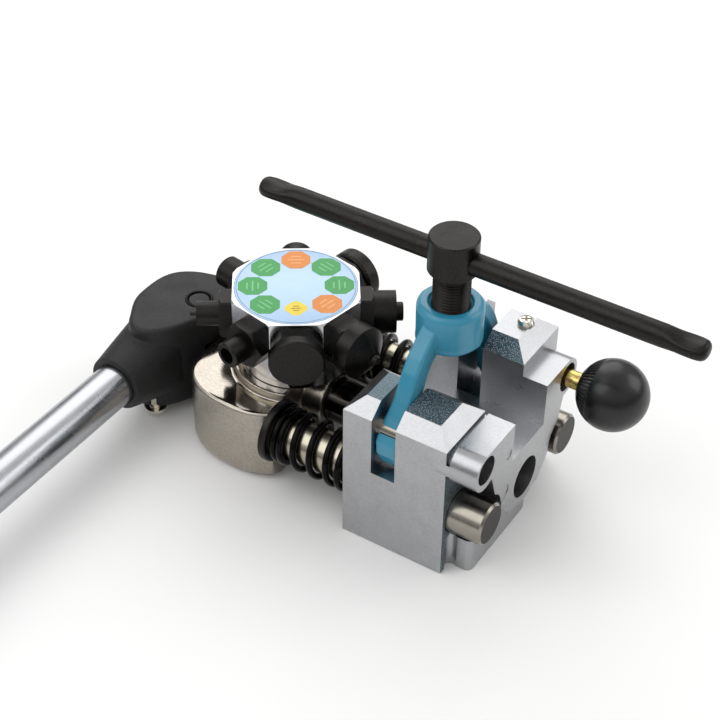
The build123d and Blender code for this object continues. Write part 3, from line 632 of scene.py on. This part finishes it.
PATCH_R = 6.87
PATCH_REACH, DIAMOND_REACH = 18.7, 16.1
CORNERS = [math.radians(22.5 + 45 * k) for k in range(8)]
OCTAGON = [(PATCH_R * math.cos(a), PATCH_R * math.sin(a)) for a in CORNERS]
DIAMOND = [(4.9, -1.1), (4.9, 1.1), (1.1, 4.9), (-1.1, 4.9), (-4.9, 1.1), (-4.9, -1.1), (-1.1, -4.9),
           (1.1, -4.9)]
BAR_LINES = ((-2.4, 2.2), (0, 3.6), (2.4, 2.2))
BARS = [[(x - 0.35, -w), (x + 0.35, -w), (x + 0.35, w), (x - 0.35, w)] for x, w in BAR_LINES]
patches = {"green": (79.5, 34.5, -100.5, -145.5, 169.5), "orange": (124.5, -10.5)}
bar_ink = {"green": "pale", "orange": "peach"}
for tone, azimuths in patches.items():
    print_shapes("label_" + tone, [(spun(OCTAGON, a, PATCH_REACH), 1) for a in azimuths], ink[tone])
    bars = [(spun(bar, a, PATCH_REACH), 2) for a in azimuths for bar in BARS]
    print_shapes("label_bars_" + tone, bars, ink[bar_ink[tone]])
YELLOW_AT = -55.5
print_shapes("label_yellow", [(spun(DIAMOND, YELLOW_AT, DIAMOND_REACH), 1)], ink["yellow"])
small_bars = [[(x * 0.6, y * 0.6) for x, y in bar] for bar in BARS]
small_prints = [(spun(bar, YELLOW_AT, DIAMOND_REACH), 2) for bar in small_bars]
print_shapes("label_bars_yellow", small_prints, ink["umber"])
LINE_IN, LINE_OUT = 25.75, 26.0
line_rings = [circle(LINE_IN, LABEL_TOP + INK_STEP), circle(LINE_OUT, LABEL_TOP + INK_STEP),
              circle(LINE_OUT, LABEL_TOP), circle(LINE_IN, LABEL_TOP)]
border = ringed("label_border", line_rings, ink["line"], closed=True)
settle(border, "turret", "label_plate")

# %% [markdown]
# ## Return springs
#
# Each guide rod carries a compression spring that pushes the turret back. Its end coils are
# wound closed so that it stands square, and the coils between are open. A plain helix has one
# pitch all along, so here the height along the axis is added up turn by turn, with a small
# pitch at the ends.

# %% Two compression springs
WIRE = 1.5
COIL = 11.6
CLOSED_PITCH = 3.1
TURNS = 6.0
CLOSED_START, CLOSED_END = 1.7, 1.0
STEPS = 40


def coil_rings(start, end, y0, z0, coil, wire, turns, closed_start, closed_end, pitch):
    """Rings of a spring's wire along X. All sizes are in millimetres."""
    open_turns = turns - closed_start - closed_end
    open_pitch = (end - start - pitch * (closed_start + closed_end)) / open_turns
    rings, x = [], start
    total = int(turns * STEPS)
    for i in range(total + 1):
        t = i / STEPS
        rise = pitch if t < closed_start or t >= turns - closed_end else open_pitch
        a = 2 * math.pi * t
        out = Vector((0, math.cos(a), math.sin(a)))
        along = Vector((rise / (2 * math.pi), -coil * math.sin(a), coil * math.cos(a))).normalized()
        side = along.cross(out)
        centre = Vector((x, y0, z0)) + coil * out
        ring = []
        for j in range(14):
            b = 2 * math.pi * j / 14
            ring.append((centre + wire * (math.cos(b) * out + math.sin(b) * side)) * MM)
        rings.append(ring)
        x += rise / STEPS
    return rings


for end_name in ("near", "far"):
    seat_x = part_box("spring_seat_" + end_name)[1].x / MM
    block_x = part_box("die_block")[0].x / MM
    low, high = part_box("guide_rod_" + end_name)
    y0, z0 = (low.y + high.y) / 2 / MM, (low.z + high.z) / 2 / MM
    rings = coil_rings(seat_x + WIRE, block_x - WIRE, y0, z0, COIL, WIRE, TURNS,
                       CLOSED_START, CLOSED_END, CLOSED_PITCH)
    spring = ringed("spring_" + end_name, rings, spring_wire)
    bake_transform(spring)
    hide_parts("return_spring_" + end_name)
    print(spring.name, "from", round(seat_x, 1), "to", round(block_x, 1), "mm")

# %% Small spring of the lock pin
LOCK_WIRE, LOCK_TURNS, LOCK_PITCH = 0.5, 4.0, 1.1
low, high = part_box("lock_spring")
lock_coil = (high.z - low.z) / 2 / MM - LOCK_WIRE
rings = coil_rings(low.x / MM + LOCK_WIRE, high.x / MM - LOCK_WIRE, LOCK_Y, LOCK_Z, lock_coil, LOCK_WIRE,
                   LOCK_TURNS, 0.5, 0.5, LOCK_PITCH)
spring = ringed("spring_lock", rings, spring_wire)
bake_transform(spring)
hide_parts("lock_spring")
print(spring.name, "coil radius", round(lock_coil, 1), "mm")

# %% [markdown]
# ## Clamp screw
#
# The screw that presses the pipe clamp down is an M16 with a 1.5 mm pitch. A thread seen this
# close has to be real geometry, since its crests make the outline. Each ring of points is one
# slice of the screw, and the distance from the axis rises and falls once per pitch, with a
# shift that depends on the angle: that is all a thread is. The head above it is the CAD part,
# with its edges broken.

# %% Thread and head of the clamp screw
THREAD_R = 7.9
THREAD_DEPTH = 0.85
PITCH = 1.5
SLICES = 12
AROUND = 72
TIP_Z, NECK_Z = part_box("clamp_screw")[0].z / MM, 118.7


def thread_rings():
    """Slices of the thread, with a plain chamfered start at the tip and a run-out at the neck."""
    rings = []
    steps = int((NECK_Z - TIP_Z) / PITCH * SLICES)
    for i in range(steps + 1):
        z = TIP_Z + i * PITCH / SLICES
        ring = []
        for j in range(AROUND):
            a = 2 * math.pi * j / AROUND
            phase = (z / PITCH - a / (2 * math.pi)) % 1.0
            valley = max(0.0, min(1.0, 1.25 - 2.5 * abs(phase - 0.5)))
            fade = min(1.0, (NECK_Z - z) / 1.6)
            r = THREAD_R - THREAD_DEPTH * valley * fade
            r = min(r, THREAD_R - 1.2 + (z - TIP_Z))
            ring.append(Vector((r * math.cos(a), r * math.sin(a), z)) * MM)
        rings.append(ring)
    return rings


thread = ringed("clamp_thread", thread_rings(), black_oxide)
settle(thread, "screw", "black_oxide")
head = copy_of("clamp_screw", "clamp_head")
bm = bmesh.new()
bm.from_mesh(head.data)
everything = list(bm.verts) + list(bm.edges) + list(bm.faces)
cut = bmesh.ops.bisect_plane(bm, geom=everything, plane_co=(0, 0, (NECK_Z - 0.2) * MM),
                             plane_no=(0, 0, 1), clear_inner=True)
rim = [e for e in cut["geom_cut"] if isinstance(e, bmesh.types.BMEdge)]
bmesh.ops.contextual_create(bm, geom=rim)
bm.to_mesh(head.data)
bm.free()
rounded(head, black_oxide, 0.45)
settle(head, "screw", "black_oxide", "clamp_screw")

# %% [markdown]
# ## Sliding bar and lock knob
#
# The bar was pinched at both ends, which makes it wider there, so it can't fall out of the
# screw's head. The pinch has left a thumb-sized dish above and below, and the tip is rounded.
# It is one ringed surface whose sections change from a circle to a dished ellipse. The ball
# knob is screwed on a yellow stud. Near its neck the mould has left a band of fine ribs, so it
# is a ball whose radius dips by less than half a millimetre between the ribs.

# %% T-bar and ball knob
BAR_LOW, BAR_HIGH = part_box("t_bar")
BAR_HALF = (BAR_HIGH.x - BAR_LOW.x) / 2 / MM
BAR_MID = (BAR_LOW + BAR_HIGH) / 2 / MM
# From the end inwards, in millimetres: distance, half width, half height and depth of the dish.
BAR_SHAPE = [(0.0, 1.6, 1.4, 0.0), (0.25, 2.9, 2.4, 0.0), (0.8, 3.9, 3.3, 0.0),
             (1.8, 4.8, 3.9, 0.1), (3.0, 5.3, 4.1, 0.5), (4.5, 5.55, 4.2, 0.95),
             (6.5, 5.6, 4.2, 1.2), (9.0, 5.5, 4.2, 1.25), (11.5, 5.3, 4.25, 1.0),
             (13.5, 5.1, 4.35, 0.5), (15.5, 4.9, 4.5, 0.15), (18.0, 4.78, 4.7, 0.0),
             (22.0, 4.75, 4.75, 0.0)]
DISH_REACH = 0.86


def bar_ring(x, half_width, half_height, dish):
    """One section of the bar: an ellipse, dished towards the middle of its top and bottom."""
    ring = []
    for j in range(40):
        a = 2 * math.pi * j / 40
        hollow = dish * max(0.0, 1.0 - (math.cos(a) / DISH_REACH) ** 4)
        z = math.sin(a) * half_height
        z -= math.copysign(hollow, z) if abs(z) > 1e-9 else 0.0
        ring.append((BAR_MID + Vector((x, half_width * math.cos(a), z))) * MM)
    return ring


left_end = [bar_ring(-BAR_HALF + d, w, h, dish) for d, w, h, dish in BAR_SHAPE]
right_end = [bar_ring(BAR_HALF - d, w, h, dish) for d, w, h, dish in reversed(BAR_SHAPE)]
bar = ringed("tommy_bar", left_end + right_end, black_oxide)
settle(bar, "bar", "black_oxide", "t_bar")

low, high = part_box("ball_knob")
KNOB_R = (high.z - low.z) / 2 / MM
KNOB_X = high.x / MM - KNOB_R
KNOB_Y, KNOB_Z = (low.y + high.y) / 2 / MM, (low.z + high.z) / 2 / MM
NECK_CUT = 1.6
RIBS = 54
RIB_DEPTH = 0.4
knob_rings = []
FLAT = math.degrees(math.acos((KNOB_R - NECK_CUT) / KNOB_R))
for step in range(73):
    angle = math.radians(FLAT + (179.0 - FLAT) * step / 72)
    ribbed = 1.0 if 38 < math.degrees(angle) < 66 else 0.0
    ring = []
    for j in range(RIBS * 4):
        turn = 2 * math.pi * j / (RIBS * 4)
        r = KNOB_R - ribbed * RIB_DEPTH * (0.5 - 0.5 * math.cos(RIBS * turn))
        x = KNOB_X - r * math.cos(angle)
        y = KNOB_Y + r * math.sin(angle) * math.cos(turn)
        z = KNOB_Z + r * math.sin(angle) * math.sin(turn)
        ring.append(Vector((x, y, z)) * MM)
    knob_rings.append(ring)
knob = ringed("knob_ball", knob_rings, knob_plastic)
settle(knob, "lock", "knob_plastic", "ball_knob")

# %% [markdown]
# ## The snap ring round the lever's pin
#
# A C-shaped snap ring lies in the ring groove on top of the lever's head and keeps the pin in.
# It is a bent wire with a gap, so its rings run along an arc that doesn't close.

# %% Snap ring
PIN = (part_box("lever_pin")[0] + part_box("lever_pin")[1]) / 2 / MM
SNAP_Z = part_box("lever_head")[1].z / MM - 0.35
SNAP_R, SNAP_WIRE = 5.75, 0.55
snap_rings = []
for step in range(61):
    a = math.radians(-30 + 300 * step / 60)
    out = Vector((math.cos(a), math.sin(a), 0))
    centre = Vector((PIN.x, PIN.y, SNAP_Z)) + SNAP_R * out
    snap_rings.append([(centre + SNAP_WIRE * (math.cos(b) * out + math.sin(b) * Vector((0, 0, 1)))) * MM
                       for b in (2 * math.pi * j / 12 for j in range(12))])
snap = ringed("lever_snap_ring", snap_rings, spring_wire)
settle(snap, "lever", "spring_wire")

# %% [markdown]
# ## Small turned parts
#
# Screws, pins, rings and the bolt under the lever are small, bright and crisp, so a tenth or
# two of a millimetre of bevel is right. The parts that lie hidden inside, such as the detent's
# ball and spring, keep their CAD meshes and only get a finish.

# %% Bevelled small parts and finishes for the CAD parts that stay
SMALL = {"block_screw": ("plated_screw", plated_screw, "block", 0.12),
         "tube_bolt": ("plated_screw", plated_screw, "lever", 0.3),
         "spring_seat_near": ("black_oxide", black_oxide, "carriage", 0.3),
         "spring_seat_far": ("black_oxide", black_oxide, "carriage", 0.3),
         "handle_tube": ("drawn_aluminium", drawn_aluminium, "lever", 0.3),
         "handle_cap": ("black_plastic", black_plastic, "lever", 0.3)}
for node, (slot, material, body, width) in SMALL.items():
    piece = rounded(copy_of(node, node + "_finished"), material, width)
    settle(piece, body, slot, node)
KEPT = {"yoke_pivot_pin": ground_steel, "guide_rod_near": ground_steel, "guide_rod_far": ground_steel,
        "turret_axle": ground_steel, "detent_ball": ground_steel, "guide_bush_near": bronze_bush,
        "guide_bush_far": bronze_bush, "draw_ram": polished_ram, "lever_pin": cast_lever,
        "detent_spring": spring_wire, "axle_circlip": spring_wire, "pressure_pad": black_oxide,
        "lock_pin": zinc_yellow}
for node, material in KEPT.items():
    NODES[node].data.materials.clear()
    NODES[node].data.materials.append(material)
print("CAD parts that stay:", len(KEPT))

# %% [markdown]
# ## Floor, light and camera
#
# Bright metal shows its surroundings more than itself, so the light is a broad, even studio: a
# large soft light behind, where the flat tops mirror it into the camera, a second one at the
# front left for the near slopes and a third at the back right for the slopes that face the
# tube. The world fades from white overhead to grey at the horizon, which gives every cylinder a
# dark side without any black in the room. The standard view keeps the blacks deep and the
# printed colours strong. The camera stands to the right of the handle and looks down by about
# 39 degrees.

# %% Pale floor
bm = bmesh.new()
bmesh.ops.create_grid(bm, x_segments=1, y_segments=1, size=4.0)
floor_mesh = bpy.data.meshes.new("floor")
bm.to_mesh(floor_mesh)
bm.free()
floor_material, _, _, _ = finish(
    "pale_floor", ("#F4F4F3", "#F7F7F6"), 0.0, (0.7, 0.8), 300.0, (4.0, 4.0, 4.0), 0.02)
FLOOR_GAP = 0.2
floor = place_object("floor", floor_mesh, floor_material)
floor.location.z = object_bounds()[0][2] - FLOOR_GAP * MM

# %% World and lights
world = bpy.data.worlds.new("studio")
bpy.context.scene.world = world
world.use_nodes = True
tree = world.node_tree
up = add(tree, "SeparateXYZ", {0: add(tree, "TexCoord").outputs["Generated"]})
rise = add(tree, "MapRange", {0: up.outputs["Z"], 1: 0.0, 2: 0.55, 3: 0.0, 4: 1.0})
sky = add(tree, "Mix", {0: rise.outputs[0], 6: linear("#6C6D70"), 7: linear("#FFFFFF")}, **MIX_RGBA)
tree.links.new(sky.outputs[2], tree.nodes["Background"].inputs["Color"])
tree.nodes["Background"].inputs["Strength"].default_value = 0.82
bpy.context.scene.view_settings.view_transform = "Standard"
# Each light: where it stands in metres, its size in metres and its power in watts.
LIGHTS = {"back": ((-0.55, 0.75, 0.85), 1.0, 5.0), "front": ((-0.50, -0.62, 0.95), 0.9, 3.5),
          "right": ((0.72, 0.62, 0.62), 0.7, 2.5)}
AIM = Vector((-0.03, -0.03, 0.05))
for name, (spot, size, power) in LIGHTS.items():
    lamp = bpy.data.lights.new(name, "AREA")
    lamp.energy = power
    lamp.size = size
    stand = bpy.data.objects.new(name, lamp)
    bpy.context.scene.collection.objects.link(stand)
    stand.location = spot
    stand.rotation_euler = (AIM - Vector(spot)).to_track_quat("-Z", "Y").to_euler()

# %% Camera
AZIMUTH, ELEVATION, ROLL = (math.radians(a) for a in (32.24, 39.42, 0.79))
level = math.cos(ELEVATION)
back = Vector((math.sin(AZIMUTH) * level, -math.cos(AZIMUTH) * level, math.sin(ELEVATION)))
right = (-back).cross(Vector((0, 0, 1))).normalized()
above = right.cross(-back)
side = math.cos(ROLL) * right + math.sin(ROLL) * above
crown = math.cos(ROLL) * above - math.sin(ROLL) * right
lens = bpy.data.cameras.new("camera")
lens.lens = 86.45
lens.sensor_width = 36
camera = bpy.data.objects.new("camera", lens)
bpy.context.scene.collection.objects.link(camera)
pose = Matrix((side, crown, back)).transposed().to_4x4()
pose.translation = Vector((0.2652, -0.4888, 0.5291))
camera.matrix_world = pose
bpy.context.scene.camera = camera
